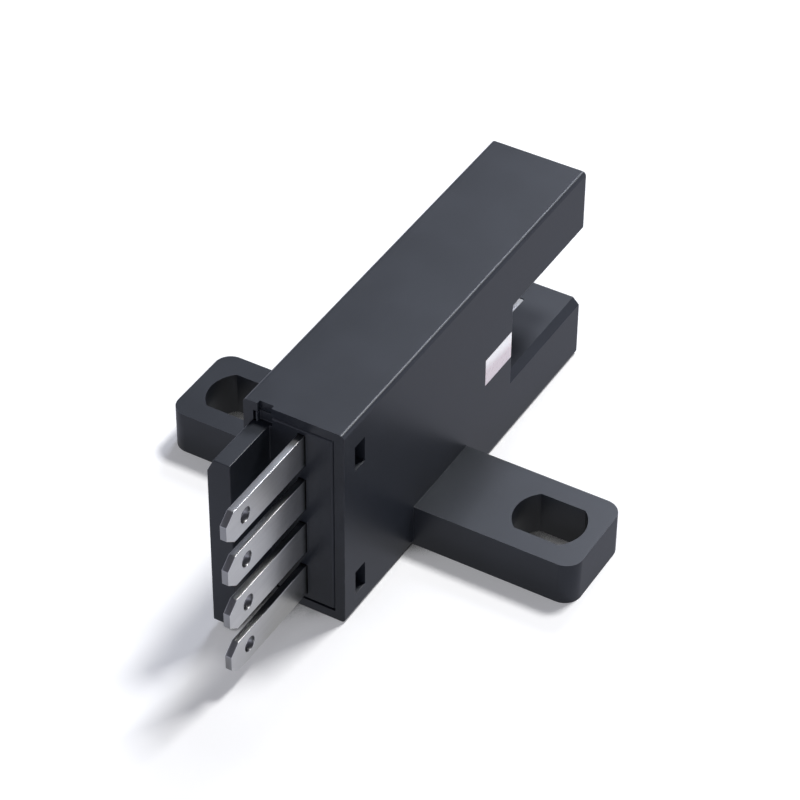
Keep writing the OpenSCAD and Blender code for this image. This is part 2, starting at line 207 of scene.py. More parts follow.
class Effects:
    """Shader node groups that several finishes share, each built once.

    Attributes:
        DOT_DEPTH: Depth of the mould's dots, as a share of its pits.
        SPECKLE: Noise values that the speckle spreads between.
        CLOUD: Noise values that the cloud spreads between.
        BEND: How far the normal turns where an edge begins and where it is full.
        PATCH: Noise values that the rubbed patches spread between.
        STAIN: Noise values that the stains spread between.
    """

    DOT_DEPTH = 0.35
    SPECKLE: Limits = (0.36, 0.66)
    CLOUD: Limits = (0.3, 0.7)
    BEND: Limits = (0.015, 0.16)
    PATCH: Limits = (0.42, 0.68)
    STAIN: Limits = (0.25, 0.8)

    @staticmethod
    def start(name: str, inputs: dict[str, float], outputs: Sequence[str]) -> Sketch:
        """Starts a node group with its sockets.

        Args:
            name: The group's name.
            inputs: Names of the inputs with their values.
            outputs: Names of the outputs.

        Returns:
            The group's sketch.
        """
        tree = bpy.data.node_groups.new(name, "ShaderNodeTree")
        for label, value in inputs.items():
            socket = tree.interface.new_socket(label, in_out="INPUT", socket_type="NodeSocketFloat")
            socket.default_value = value
        for label in outputs:
            tree.interface.new_socket(label, in_out="OUTPUT", socket_type="NodeSocketFloat")
        return Sketch(tree)

    @classmethod
    @cache
    def grain(cls) -> Tree:
        """Fine pits of a spark-eroded mould, and the slow cloud of a moulded surface.

        Returns:
            The group, with a height, a speckle and a cloud.
        """
        sizes = {"Grain Scale": 9000.0, "Cloud Scale": 260.0}
        sketch = cls.start("moulded_grain", sizes, ("Height", "Speckle", "Cloud"))
        given = sketch.add("NodeGroupInput").outputs
        place = sketch.place()
        pits = sketch.noise(place, given["Grain Scale"], detail=3.0, roughness=0.6)
        cells = {"Vector": place, "W": SEED, "Scale": given["Grain Scale"]}
        dots = sketch.add("ShaderNodeTexVoronoi", cells, voronoi_dimensions="4D").outputs["Distance"]
        cloud = sketch.noise(place, given["Cloud Scale"], detail=4.0, roughness=0.55)
        height = sketch.math("MULTIPLY_ADD", dots, cls.DOT_DEPTH, pits)
        results = {"Height": height, "Speckle": sketch.spread(pits, *cls.SPECKLE)}
        results["Cloud"] = sketch.spread(cloud, *cls.CLOUD)
        sketch.add("NodeGroupOutput", results)
        return sketch.tree

    @classmethod
    @cache
    def edge_wear(cls) -> Tree:
        """Rubbed patches along the edges.

        Returns:
            The group, with a mask.
        """
        sketch = cls.start("edge_wear", {"Reach": 0.12 * MM, "Patch Scale": 900.0}, ("Mask",))
        given = sketch.add("NodeGroupInput").outputs
        soft = sketch.add("ShaderNodeBevel", {"Radius": given["Reach"]}, samples=4).outputs[0]
        plain = sketch.add("ShaderNodeNewGeometry").outputs["Normal"]
        likeness = sketch.add("ShaderNodeVectorMath", operation="DOT_PRODUCT")
        sketch.feed(likeness.inputs[0], soft)
        sketch.feed(likeness.inputs[1], plain)
        bend = sketch.math("SUBTRACT", 1.0, likeness.outputs["Value"])
        edge = sketch.spread(bend, *cls.BEND)
        patches = sketch.noise(sketch.place(), given["Patch Scale"], detail=5.0, roughness=0.65)
        mask = sketch.math("MULTIPLY", edge, sketch.spread(patches, *cls.PATCH))
        sketch.add("NodeGroupOutput", {"Mask": mask})
        return sketch.tree

    @classmethod
    @cache
    def nook(cls) -> Tree:
        """How open a place is to the light, from 0 deep in a hole to 1 in the open.

        Returns:
            The group, with an openness.
        """
        sketch = cls.start("nook", {"Reach": 4.5 * MM, "Dark": 0.22, "Light": 0.36}, ("Openness",))
        given = sketch.add("NodeGroupInput").outputs
        hidden = sketch.add("ShaderNodeAmbientOcclusion", {"Distance": given["Reach"]}, samples=16)
        limits = {"Value": hidden.outputs["AO"], "From Min": given["Dark"], "From Max": given["Light"]}
        openness = sketch.add("ShaderNodeMapRange", limits, interpolation_type="SMOOTHSTEP")
        sketch.add("NodeGroupOutput", {"Openness": openness.outputs["Result"]})
        return sketch.tree

    @classmethod
    @cache
    def rolled_lines(cls) -> Tree:
        """Lines that rolling leaves along a strip of metal, and the stains of its plating.

        Returns:
            The group, with a height and a stain.
        """
        sizes = {"Line Scale": 5200.0, "Stretch": 0.03, "Stain Scale": 700.0}
        sketch = cls.start("rolled_lines", sizes, ("Height", "Stain"))
        given = sketch.add("NodeGroupInput").outputs
        place = sketch.place()
        along = sketch.add("ShaderNodeCombineXYZ", {"X": 1.0, "Y": given["Stretch"], "Z": 1.0}).outputs[0]
        drawn = sketch.add("ShaderNodeVectorMath", operation="MULTIPLY")
        sketch.feed(drawn.inputs[0], place)
        sketch.feed(drawn.inputs[1], along)
        lines = sketch.noise(drawn.outputs[0], given["Line Scale"], detail=4.0, roughness=0.5)
        stain = sketch.noise(place, given["Stain Scale"], detail=2.0, roughness=0.4)
        sketch.add("NodeGroupOutput", {"Height": lines, "Stain": sketch.spread(stain, *cls.STAIN)})
        return sketch.tree


@dataclass(frozen=True)
class Finish:
    """A named finish with its colour and gloss.

    Attributes:
        name: The material's name.
        colour: Its main colour, linear.
        roughness: How matt it is.
        specular: How strongly it mirrors.
        bump: Depth of its fine texture.
    """

    name: str
    colour: Colour
    roughness: float = 0.4
    specular: float = 0.5
    bump: float = 0.004 * MM

    def material(self) -> bpy.types.Material:
        """Builds the finish once, and hands out the same material afterwards.

        Returns:
            The finish's material.
        """
        if self.name in bpy.data.materials:
            return bpy.data.materials[self.name]
        made = bpy.data.materials.new(self.name)
        made.use_nodes = True
        made.diffuse_color = opaque(self.colour)
        shader = made.node_tree.nodes["Principled BSDF"]
        shader.inputs["Specular IOR Level"].default_value = self.specular
        self.draw(Sketch(made.node_tree), shader)
        return made

    def draw(self, sketch: Sketch, shader: Node) -> None:
        """Draws what feeds the shader.

        Args:
            sketch: The material's sketch.
            shader: Its Principled BSDF.
        """
        raise NotImplementedError

    def press(self, sketch: Sketch, shader: Node, height: Socket) -> None:
        """Puts a height into the shader's normal.

        Args:
            sketch: The material's sketch.
            shader: Its Principled BSDF.
            height: The height's socket.
        """
        relief = sketch.add("ShaderNodeBump", {"Strength": 1.0, "Distance": self.bump, "Height": height})
        sketch.feed(shader.inputs["Normal"], relief.outputs[0])

    @staticmethod
    def effect(sketch: Sketch, tree: Tree, values: dict[str, float]) -> Node:
        """Places a shared effect in a material.

        Args:
            sketch: The material's sketch.
            tree: The effect's node group.
            values: The effect's inputs.

        Returns:
            The group's node.
        """
        node = sketch.add("ShaderNodeGroup", node_tree=tree)
        for label, value in values.items():
            node.inputs[label].default_value = value
        return node


@dataclass(frozen=True)
class Moulding(Finish):
    """An opaque moulding with mould grain and rubbed edges, lightened also as a painted highlight along them.

    Attributes:
        worn_and_highlight: Colour of the rubbed edges, lighter also as a painted highlight along them.
        wear: How much they show.
        grain_scale: How fine the mould grain is.
        deep: Brightness of the clouds' dark parts, as a share of the colour.
        pale: Brightness of their light parts and of the speckles.
        speckle: How much the speckles show.
        uneven: How much the clouds change the roughness.
        polish: How much rubbing lowers it.
    """

    worn_and_highlight: Colour = (0.09, 0.094, 0.104)
    wear: float = 0.45
    grain_scale: float = 5000.0
    deep: float = 0.9
    pale: float = 1.15
    speckle: float = 0.2
    uneven: float = 0.02
    polish: float = 0.04

    def draw(self, sketch: Sketch, shader: Node) -> None:
        """Draws grain, cloud and rubbed edges, whose lighter colour is also a painted highlight.

        Args:
            sketch: The material's sketch.
            shader: Its Principled BSDF.
        """
        grain = self.effect(sketch, Effects.grain(), {"Grain Scale": self.grain_scale}).outputs
        wear = self.effect(sketch, Effects.edge_wear(), {}).outputs["Mask"]
        deep = opaque(tuple(self.deep * part for part in self.colour))
        pale = opaque(tuple(self.pale * part for part in self.colour))
        mottled = sketch.blend(grain["Cloud"], deep, pale)
        speckled = sketch.blend(sketch.math("MULTIPLY", grain["Speckle"], self.speckle), mottled, pale)
        # Rubbed edges lighter, partly wear and partly a painted highlight along the edges.
        rubbed = sketch.blend(sketch.math("MULTIPLY", wear, self.wear), speckled, opaque(self.worn_and_highlight))
        sketch.feed(shader.inputs["Base Color"], rubbed)
        matt = sketch.math("MULTIPLY_ADD", grain["Cloud"], self.uneven, self.roughness - self.uneven / 2)
        sketch.feed(shader.inputs["Roughness"], sketch.math("MULTIPLY_ADD", wear, -self.polish, matt))
        self.press(sketch, shader, grain["Height"])


@dataclass(frozen=True)
class Milky(Finish):
    """A cloudy light-spreading plastic or resin.

    Attributes:
        warm: Colour of its clouds, and of its lower part where it fades.
        depth: How far light wanders in it.
        painted_glow: Painted light, an emission that makes it glow though it is no lamp.
        clear: How much light goes straight through.
        fade: Places along the lean where the warm colour begins to fade and is gone, if it does.
        lean: Direction in which it fades.
        cloud: How much the clouds show.
        scatter: Share of the light that wanders in it.
        scatter_tint: How far each colour of light wanders, as a share of the depth.
        uneven: How much the speckles change the roughness.
        flow: Depth of the flow lines, as a share of the grain.
    """

    warm: Colour = (0.635, 0.565, 0.59)
    depth: float = 0.6 * MM
    painted_glow: float = 0.0
    clear: float = 0.0
    fade: Limits | None = None
    lean: Direction = (0.0, 0.1, 1.0)
    cloud: float = 0.3
    scatter: float = 0.35
    scatter_tint: Colour = (1.0, 0.85, 0.8)
    uneven: float = 0.06
    flow: float = 0.5

    def draw(self, sketch: Sketch, shader: Node) -> None:
        """Draws clouds in the plastic, faint flow lines on it and its painted glow.

        Args:
            sketch: The material's sketch.
            shader: Its Principled BSDF.
        """
        values = {"Grain Scale": 5200.0, "Cloud Scale": 420.0}
        grain = self.effect(sketch, Effects.grain(), values).outputs
        lines = self.effect(sketch, Effects.rolled_lines(), {"Line Scale": 1700.0}).outputs
        warm_share = sketch.math("MULTIPLY", grain["Cloud"], self.cloud)
        if self.fade:
            warm_share = sketch.math("MAXIMUM", warm_share, self.warmth_along(sketch, *self.fade))
        cloudy = sketch.blend(warm_share, opaque(self.colour), opaque(self.warm))
        sketch.feed(shader.inputs["Base Color"], cloudy)
        # Painted glow: the plastic gives off light in its own colour, though it is no lamp.
        sketch.feed(shader.inputs["Emission Color"], cloudy)
        constants = {
            "Emission Strength": self.painted_glow,
            "Subsurface Weight": self.scatter,
            "Subsurface Radius": self.scatter_tint,
            "Subsurface Scale": self.depth,
            "Transmission Weight": self.clear,
        }
        for label, value in constants.items():
            shader.inputs[label].default_value = value
        matt = sketch.math("MULTIPLY_ADD", grain["Speckle"], self.uneven, self.roughness - self.uneven / 2)
        sketch.feed(shader.inputs["Roughness"], matt)
        self.press(sketch, shader, sketch.math("MULTIPLY_ADD", lines["Height"], self.flow, grain["Height"]))

    def warmth_along(self, sketch: Sketch, start: float, end: float) -> Socket:
        """Tells how warm the plastic is at each place along its lean, warmest at the low end.

        Args:
            sketch: The material's sketch.
            start: Place where it begins to fade.
            end: Place where it is gone.

        Returns:
            A socket that goes from 1 down to 0.
        """
        place = sketch.place()
        along = sketch.add("ShaderNodeVectorMath", operation="DOT_PRODUCT")
        sketch.feed(along.inputs[0], place)
        sketch.feed(along.inputs[1], self.lean)
        return sketch.math("SUBTRACT", 1.0, sketch.spread(along.outputs["Value"], start, end))


@dataclass(frozen=True)
class Metal(Finish):
    """Plated or soldered metal with rolling lines and stains.

    Attributes:
        dull: Colour of its stains.
        hole_shade: Colour of the painted shade in its holes and nooks.
        sheared_and_shade: Colour of the cut edges, which don't face along X, if it is cut from a strip; it is
            bare sheared metal and also painted shade on edges that the blades shade.
        stretch: How long the rolling lines are drawn out, from 1, not at all, to 0.
        stain: How much the stains show.
        streak: How much the rolling lines show.
        rubbed: How much the rubbed edges show.
        uneven: How much the stains change the roughness.
        BRIGHTER: Brightness of the rubbed edges, as a share of the colour.
        LINES: Heights that the rolling lines' streaks spread between.
        FACING: Share of the normal along X where an edge ends and where a flat side begins.
    """

    dull: Colour = (0.6, 0.59, 0.58)
    hole_shade: Colour = (0.1, 0.1, 0.1)
    sheared_and_shade: Colour | None = None
    stretch: float = 0.03
    stain: float = 0.15
    streak: float = 0.12
    rubbed: float = 0.4
    uneven: float = 0.04

    BRIGHTER = 1.1
    LINES = (0.3, 0.7)
    FACING = (0.5, 0.85)

    def draw(self, sketch: Sketch, shader: Node) -> None:
        """Draws rolling lines, stains, rubbed edges, cut edges partly darkened as painted shade, and painted
        shade in the holes.

        Args:
            sketch: The material's sketch.
            shader: Its Principled BSDF.
        """
        rolled = self.effect(sketch, Effects.rolled_lines(), {"Stretch": self.stretch}).outputs
        wear = self.effect(sketch, Effects.edge_wear(), {"Reach": 0.06 * MM}).outputs["Mask"]
        shade = sketch.math("MULTIPLY", rolled["Stain"], self.stain)
        lines = sketch.spread(rolled["Height"], *self.LINES)
        streaked = sketch.math("MULTIPLY_ADD", lines, self.streak, shade)
        stained = sketch.blend(streaked, opaque(self.colour), opaque(self.dull))
        bright = opaque(tuple(min(1.0, self.BRIGHTER * part) for part in self.colour))
        unshaded = sketch.blend(sketch.math("MULTIPLY", wear, self.rubbed), stained, bright)
        matt = sketch.math("MULTIPLY_ADD", rolled["Stain"], self.uneven, self.roughness)
        # Cut edges painted darker: partly bare sheared metal, partly painted shade where neighbouring blades
        # shade the edges.
        if self.sheared_and_shade:
            unshaded = sketch.blend(self.flat_side(sketch), opaque(self.sheared_and_shade), unshaded)
        # Painted shade: deep in holes and nooks the colour darkens to the hole shade colour.
        values = {"Reach": 0.95 * MM, "Dark": 0.4, "Light": 0.85}
        openness = self.effect(sketch, Effects.nook(), values).outputs["Openness"]
        sketch.feed(shader.inputs["Base Color"], sketch.blend(openness, opaque(self.hole_shade), unshaded))
        shader.inputs["Metallic"].default_value = 1.0
        sketch.feed(shader.inputs["Roughness"], matt)
        self.press(sketch, shader, rolled["Height"])

    @classmethod
    def flat_side(cls, sketch: Sketch) -> Socket:
        """Tells the strip's flat sides, which face along X, from its edges.

        Args:
            sketch: The material's sketch.

        Returns:
            A socket that is 1 on the flat sides and 0 on the edges.
        """
        facing = sketch.add("ShaderNodeTexCoord").outputs["Normal"]
        across = sketch.add("ShaderNodeSeparateXYZ", {"Vector": facing}).outputs["X"]
        return sketch.spread(sketch.math("ABSOLUTE", across), *cls.FACING)


@dataclass(frozen=True)
class Laminate(Finish):
    """A glass-cloth board under a solder mask, with tracks that show through it.

    Attributes:
        track: Colour of the mask over a track.
        weave: How much the glass cloth shows.
        uneven: How much the clouds change the roughness.
        rise: Height of a track, as a share of the weave.
        TRACKS: Wave values where the edge of a track begins and ends.
    """

    track: Colour = (0.035, 0.16, 0.06)
    weave: float = 0.35
    uneven: float = 0.15
    rise: float = 2.0

    TRACKS = (0.7, 0.78)

    def draw(self, sketch: Sketch, shader: Node) -> None:
        """Draws a weave of glass cloth and bands of tracks.

        Args:
            sketch: The material's sketch.
            shader: Its Principled BSDF.
        """
        place = sketch.place()
        run = {"Vector": place, "Scale": 260.0, "Distortion": 1.2, "Detail": 1.0}
        bands = sketch.add("ShaderNodeTexWave", run, bands_direction="Z").outputs["Fac"]
        track = sketch.spread(bands, *self.TRACKS)
        warp = {"Vector": place, "Scale": 900.0}
        yarn = sketch.add("ShaderNodeTexWave", warp, bands_direction="Z").outputs["Fac"]
        weft = sketch.add("ShaderNodeTexWave", warp, bands_direction="Y").outputs["Fac"]
        weave = sketch.math("MULTIPLY", yarn, weft)
        grain = self.effect(sketch, Effects.grain(), {}).outputs
        shown = sketch.math("MULTIPLY", weave, self.weave)
        woven = sketch.blend(shown, opaque(self.colour), opaque(self.track))
        traced = sketch.blend(track, woven, opaque(self.track))
        sketch.feed(shader.inputs["Base Color"], traced)
        matt = sketch.math("MULTIPLY_ADD", grain["Cloud"], self.uneven, self.roughness)
        sketch.feed(shader.inputs["Roughness"], matt)
        self.press(sketch, shader, sketch.math("MULTIPLY_ADD", track, self.rise, weave))


MOULD_BLACK: Colour = (0.0185, 0.022, 0.0285)
# Places along the light guide's lean where its warm colour begins to fade and is gone
GUIDE_FADE: Limits = (6.9 * MM, 7.8 * MM)

HOUSING_BLACK = Moulding("housing_black", MOULD_BLACK, roughness=0.37, bump=0.0008 * MM)
COVER_BLACK = Moulding("cover_black", MOULD_BLACK, roughness=0.38, bump=0.0008 * MM)
# The light guide and the windows glow with painted light.
GUIDE_MILKY = Milky(
    "guide_milky", (0.88, 0.87, 0.87), roughness=0.3, bump=0.0003 * MM, painted_glow=0.47, fade=GUIDE_FADE
)
WINDOW_MILKY = Milky("window_milky", (0.33, 0.345, 0.36), roughness=0.25, bump=0.0003 * MM, painted_glow=0.3)
TIN_PLATE = Metal(
    "tin_plate", (0.98, 0.97, 0.93), roughness=0.3, bump=0.0002 * MM, sheared_and_shade=(0.45, 0.45, 0.45)
)
SOLDER_GREY = Metal("solder_grey", (0.55, 0.55, 0.54), roughness=0.3, bump=0.001 * MM, stretch=1.0)
LEAD_SILVER = Metal("lead_silver", (0.62, 0.61, 0.6), roughness=0.3, bump=0.0003 * MM)
BOARD_GREEN = Laminate("board_green", (0.02, 0.1, 0.04), roughness=0.3)
RESIN_CLEAR = Milky("resin_clear", (0.68, 0.64, 0.74), roughness=0.15, warm=(0.6, 0.55, 0.68), clear=0.5)
RESIN_DARK = Milky("resin_dark", (0.035, 0.028, 0.042), roughness=0.18, warm=(0.028, 0.02, 0.035))
EPOXY_BLACK = Moulding("epoxy_black", (0.018, 0.018, 0.02), roughness=0.5)
CERAMIC_BLACK = Moulding("ceramic_black", (0.03, 0.03, 0.034), roughness=0.35)
CERAMIC_TAN = Moulding("ceramic_tan", (0.42, 0.3, 0.2), roughness=0.4, worn_and_highlight=(0.6, 0.5, 0.4))


class Workshop:
    """Steps that every sub-assembly takes to make and place its pieces.

    Attributes:
        CREASE: Edges that bend more than this are rounded.
        FLAT: Faces that bend less than this are joined.
        WELD: Points closer than this are one.
        MARK: Blender's name for the edges' shares of the rounding.
        FACE_WEIGHT: How strongly large faces lead the shading.
    """

    CREASE = math.radians(35.0)
    FLAT = math.radians(0.5)
    WELD = 0.001 * MM
    MARK = "bevel_weight_edge"
    FACE_WEIGHT = 100

    @staticmethod
    def link(name: str, mesh: bpy.types.Mesh) -> Piece:
        """Puts a mesh in the scene.

        Args:
            name: The piece's name.
            mesh: Its mesh.

        Returns:
            The piece.
        """
        piece = bpy.data.objects.new(name, mesh)
        bpy.context.scene.collection.objects.link(piece)
        return piece

    @classmethod
    def copy(cls, node: str, name: str) -> Piece:
        """Copies a node of the frame as one closed skin of whole faces.

        Args:
            node: The node's name.
            name: The new piece's name.

        Returns:
            The piece.
        """
        skin = bmesh.new()
        skin.from_mesh(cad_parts[node].data)
        bmesh.ops.remove_doubles(skin, verts=skin.verts, dist=cls.WELD)
        bmesh.ops.dissolve_limit(skin, angle_limit=cls.FLAT, verts=skin.verts, edges=skin.edges)
        mesh = bpy.data.meshes.new(name)
        skin.to_mesh(mesh)
        skin.free()
        spare = [layer.name for layer in mesh.attributes if layer.name == "custom_normal"]
        for label in spare:
            mesh.attributes.remove(mesh.attributes[label])
        return cls.link(name, mesh)

    @classmethod
    def round_edges(cls, piece: Piece, width: float, segments: int = 3) -> None:
        """Adds rounded edges and even shading to a piece.

        Args:
            piece: The piece.
            width: Width of the rounding, at its widest if the piece's edges are marked.
            segments: Number of faces across it.
        """
        bevel = piece.modifiers.new("rounded_edges", "BEVEL")
        bevel.width = width
        bevel.segments = segments
        bevel.limit_method = "WEIGHT" if cls.MARK in piece.data.attributes else "ANGLE"
        bevel.angle_limit = cls.CREASE
        shading = piece.modifiers.new("even_shading", "WEIGHTED_NORMAL")
        shading.weight = cls.FACE_WEIGHT

    @classmethod
    def mark_edges(cls, piece: Piece, share: Callable[[Vector], float]) -> None:
        """Marks a piece's sharp edges with their share of the widest rounding.

        Args:
            piece: The piece.
            share: Gives the share at the middle of an edge.
        """
        skin = bmesh.new()
        skin.from_mesh(piece.data)
        mark = skin.edges.layers.float.new(cls.MARK)
        for edge in skin.edges:
            if edge.is_manifold and edge.calc_face_angle() > cls.CREASE:
                edge[mark] = share((edge.verts[0].co + edge.verts[1].co) / 2)
        skin.to_mesh(piece.data)
        skin.free()

    @staticmethod
    def settle(piece: Piece, finish: Finish | None = None) -> None:
        """Makes a piece's modifiers into a plain mesh.

        Args:
            piece: The piece.
            finish: Its finish, for a piece that no node tree has painted.
        """
        for face in piece.data.polygons:
            face.use_smooth = True
        graph = bpy.context.evaluated_depsgraph_get()
        raw = piece.data
        done = piece.evaluated_get(graph)
        mesh = bpy.data.meshes.new_from_object(done, preserve_all_data_layers=True, depsgraph=graph)
        piece.modifiers.clear()
        piece.data = mesh
        mesh.name = piece.name
        bpy.data.meshes.remove(raw)
        if finish:
            mesh.materials.clear()
            mesh.materials.append(finish.material())

    @staticmethod
    def hand_over(piece: Piece, nodes: Sequence[str], slot: Slot) -> None:
        """Lets a piece ride on the body and stand for its nodes.

        Args:
            piece: The piece.
            nodes: The frame's nodes that it stands for.
            slot: Not used.
        """
        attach(piece, BODY)
        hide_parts(*nodes)
        LOG.info("%s: %d faces, for %s", piece.name, len(piece.data.polygons), ", ".join(nodes))

    @staticmethod
    def dress(node: str, finish: Finish) -> None:
        """Gives a node of the frame its finish.

        Args:
            node: The node's name.
            finish: Its finish.
        """
        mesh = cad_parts[node].data
        mesh.materials.clear()
        mesh.materials.append(finish.material())
        LOG.info("%s: dressed in %s", node, finish.name)


@dataclass
class Housing:
    """The black T-shaped moulding.

    Attributes:
        flange_edge: Rounding of the flanges' upper outer edges.
        edge: Rounding of the other edges.
        flange_top: Height of the flanges' upper faces.
        side: Distance from the middle to the body's side faces.
        hole_x: Distance from the middle to a mounting hole's centre.
        hole_reach: Distance from that centre within which an edge is the hole's own.
    """

    flange_edge: float = 0.28 * MM
    edge: float = 0.07 * MM
    flange_top: float = 2.7 * MM
    side: float = 3.0 * MM
    hole_x: float = 9.75 * MM
    hole_reach: float = 2.3 * MM

    def share(self, middle: Vector) -> float:
        """Gives the share of the widest rounding at an edge.

        Args:
            middle: The middle of the edge.

        Returns:
            1 at the flanges' upper outer edges, and less elsewhere.
        """
        beside = abs(middle.x) > self.side + Workshop.WELD
        level = abs(middle.z - self.flange_top) < Workshop.WELD
        outer = math.hypot(abs(middle.x) - self.hole_x, middle.y) > self.hole_reach
        return 1.0 if beside and level and outer else self.edge / self.flange_edge

    def build(self) -> None:
        """Rounds the housing's edges and dresses it."""
        piece = Workshop.copy("housing", "housing_moulding")
        Workshop.mark_edges(piece, self.share)
        Workshop.round_edges(piece, self.flange_edge, segments=4)
        Workshop.settle(piece, HOUSING_BLACK)
        Workshop.hand_over(piece, ["housing"], Slot.HOUSING)


@dataclass
class RearCover:
    """The plug with its guard wall and latch nubs.

    Attributes:
        edge: Rounding of the mould's edges.
    """

    edge: float = 0.06 * MM

    def build(self) -> None:
        """Rounds the cover's edges and dresses it."""
        piece = Workshop.copy("rear_cover", "rear_cover_moulding")
        Workshop.round_edges(piece, self.edge)
        Workshop.settle(piece, COVER_BLACK)
        Workshop.hand_over(piece, ["rear_cover"], Slot.COVER)


@dataclass
class LightPieces:
    """The milky light guide and the two windows of the light slits.

    Attributes:
        edge: Rounding of their edges.
        PIECES: Finish and slot of each node.
    """

    edge: float = 0.04 * MM

    PIECES = {
        "light_guide": (GUIDE_MILKY, Slot.MILKY),
        "emitter_window": (WINDOW_MILKY, Slot.WINDOW),
        "receiver_window": (WINDOW_MILKY, Slot.WINDOW),
    }

    def build(self) -> None:
        """Rounds and dresses the three pieces."""
        for node, (finish, slot) in self.PIECES.items():
            piece = Workshop.copy(node, f"{node}_lens")
            Workshop.round_edges(piece, self.edge)
            Workshop.settle(piece, finish)
            Workshop.hand_over(piece, [node], slot)


class Plan:
    """A geometry node tree with named inputs for its sizes."""

    def __init__(self, name: str, sizes: Sequence[str], finishes: Sequence[str]) -> None:
        """Starts the tree.

        Args:
            name: The tree's name.
            sizes: Names of the inputs that are lengths.
            finishes: Names of the inputs that are materials.
        """
        tree = bpy.data.node_groups.new(name, "GeometryNodeTree")
        tree.interface.new_socket("Mesh", in_out="OUTPUT", socket_type="NodeSocketGeometry")
        for label in sizes:
            tree.interface.new_socket(label, in_out="INPUT", socket_type="NodeSocketFloat")
        for label in finishes:
            tree.interface.new_socket(label, in_out="INPUT", socket_type="NodeSocketMaterial")
        self.tree = tree
        self.sketch = Sketch(tree)
        self.given = self.sketch.add("NodeGroupInput").outputs

    def point(self, x: Value, y: Value, z: Value) -> Socket:
        """Joins three values into a point."""
        return self.sketch.add("ShaderNodeCombineXYZ", {"X": x, "Y": y, "Z": z}).outputs[0]

    def paint(self, mesh: Socket, label: str) -> Socket:
        """Makes instances real and gives them the material of an input.

        Args:
            mesh: The geometry.
            label: The material input's name.

        Returns:
            The painted geometry.
        """
        real = self.sketch.add("GeometryNodeRealizeInstances", {"Geometry": mesh}).outputs[0]
        values = {"Geometry": real, "Material": self.given[label]}
        return self.sketch.add("GeometryNodeSetMaterial", values).outputs[0]

    def join(self, *parts: Socket) -> Socket:
        """Joins several geometries into one.

        Args:
            parts: The geometries.

        Returns:
            The joined geometry.
        """
        node = self.sketch.add("GeometryNodeJoinGeometry")
        for part in parts:
            self.sketch.feed(node.inputs[0], part)
        return node.outputs[0]

    def finish(self, mesh: Socket) -> None:
        """Ends the tree with a geometry."""
        self.sketch.add("NodeGroupOutput", {"Mesh": mesh})

    def make(self, name: str, values: dict[str, object]) -> Piece:
        """Makes a piece with the tree as its modifier.

        Args:
            name: The piece's name.
            values: The tree's inputs.

        Returns:
            The piece.
        """
        piece = Workshop.link(name, bpy.data.meshes.new(name))
        modifier = piece.modifiers.new("plan", "NODES")
        modifier.node_group = self.tree
        for item in self.tree.interface.items_tree:
            if item.in_out == "INPUT":
                modifier[item.identifier] = values[item.name]
        return piece


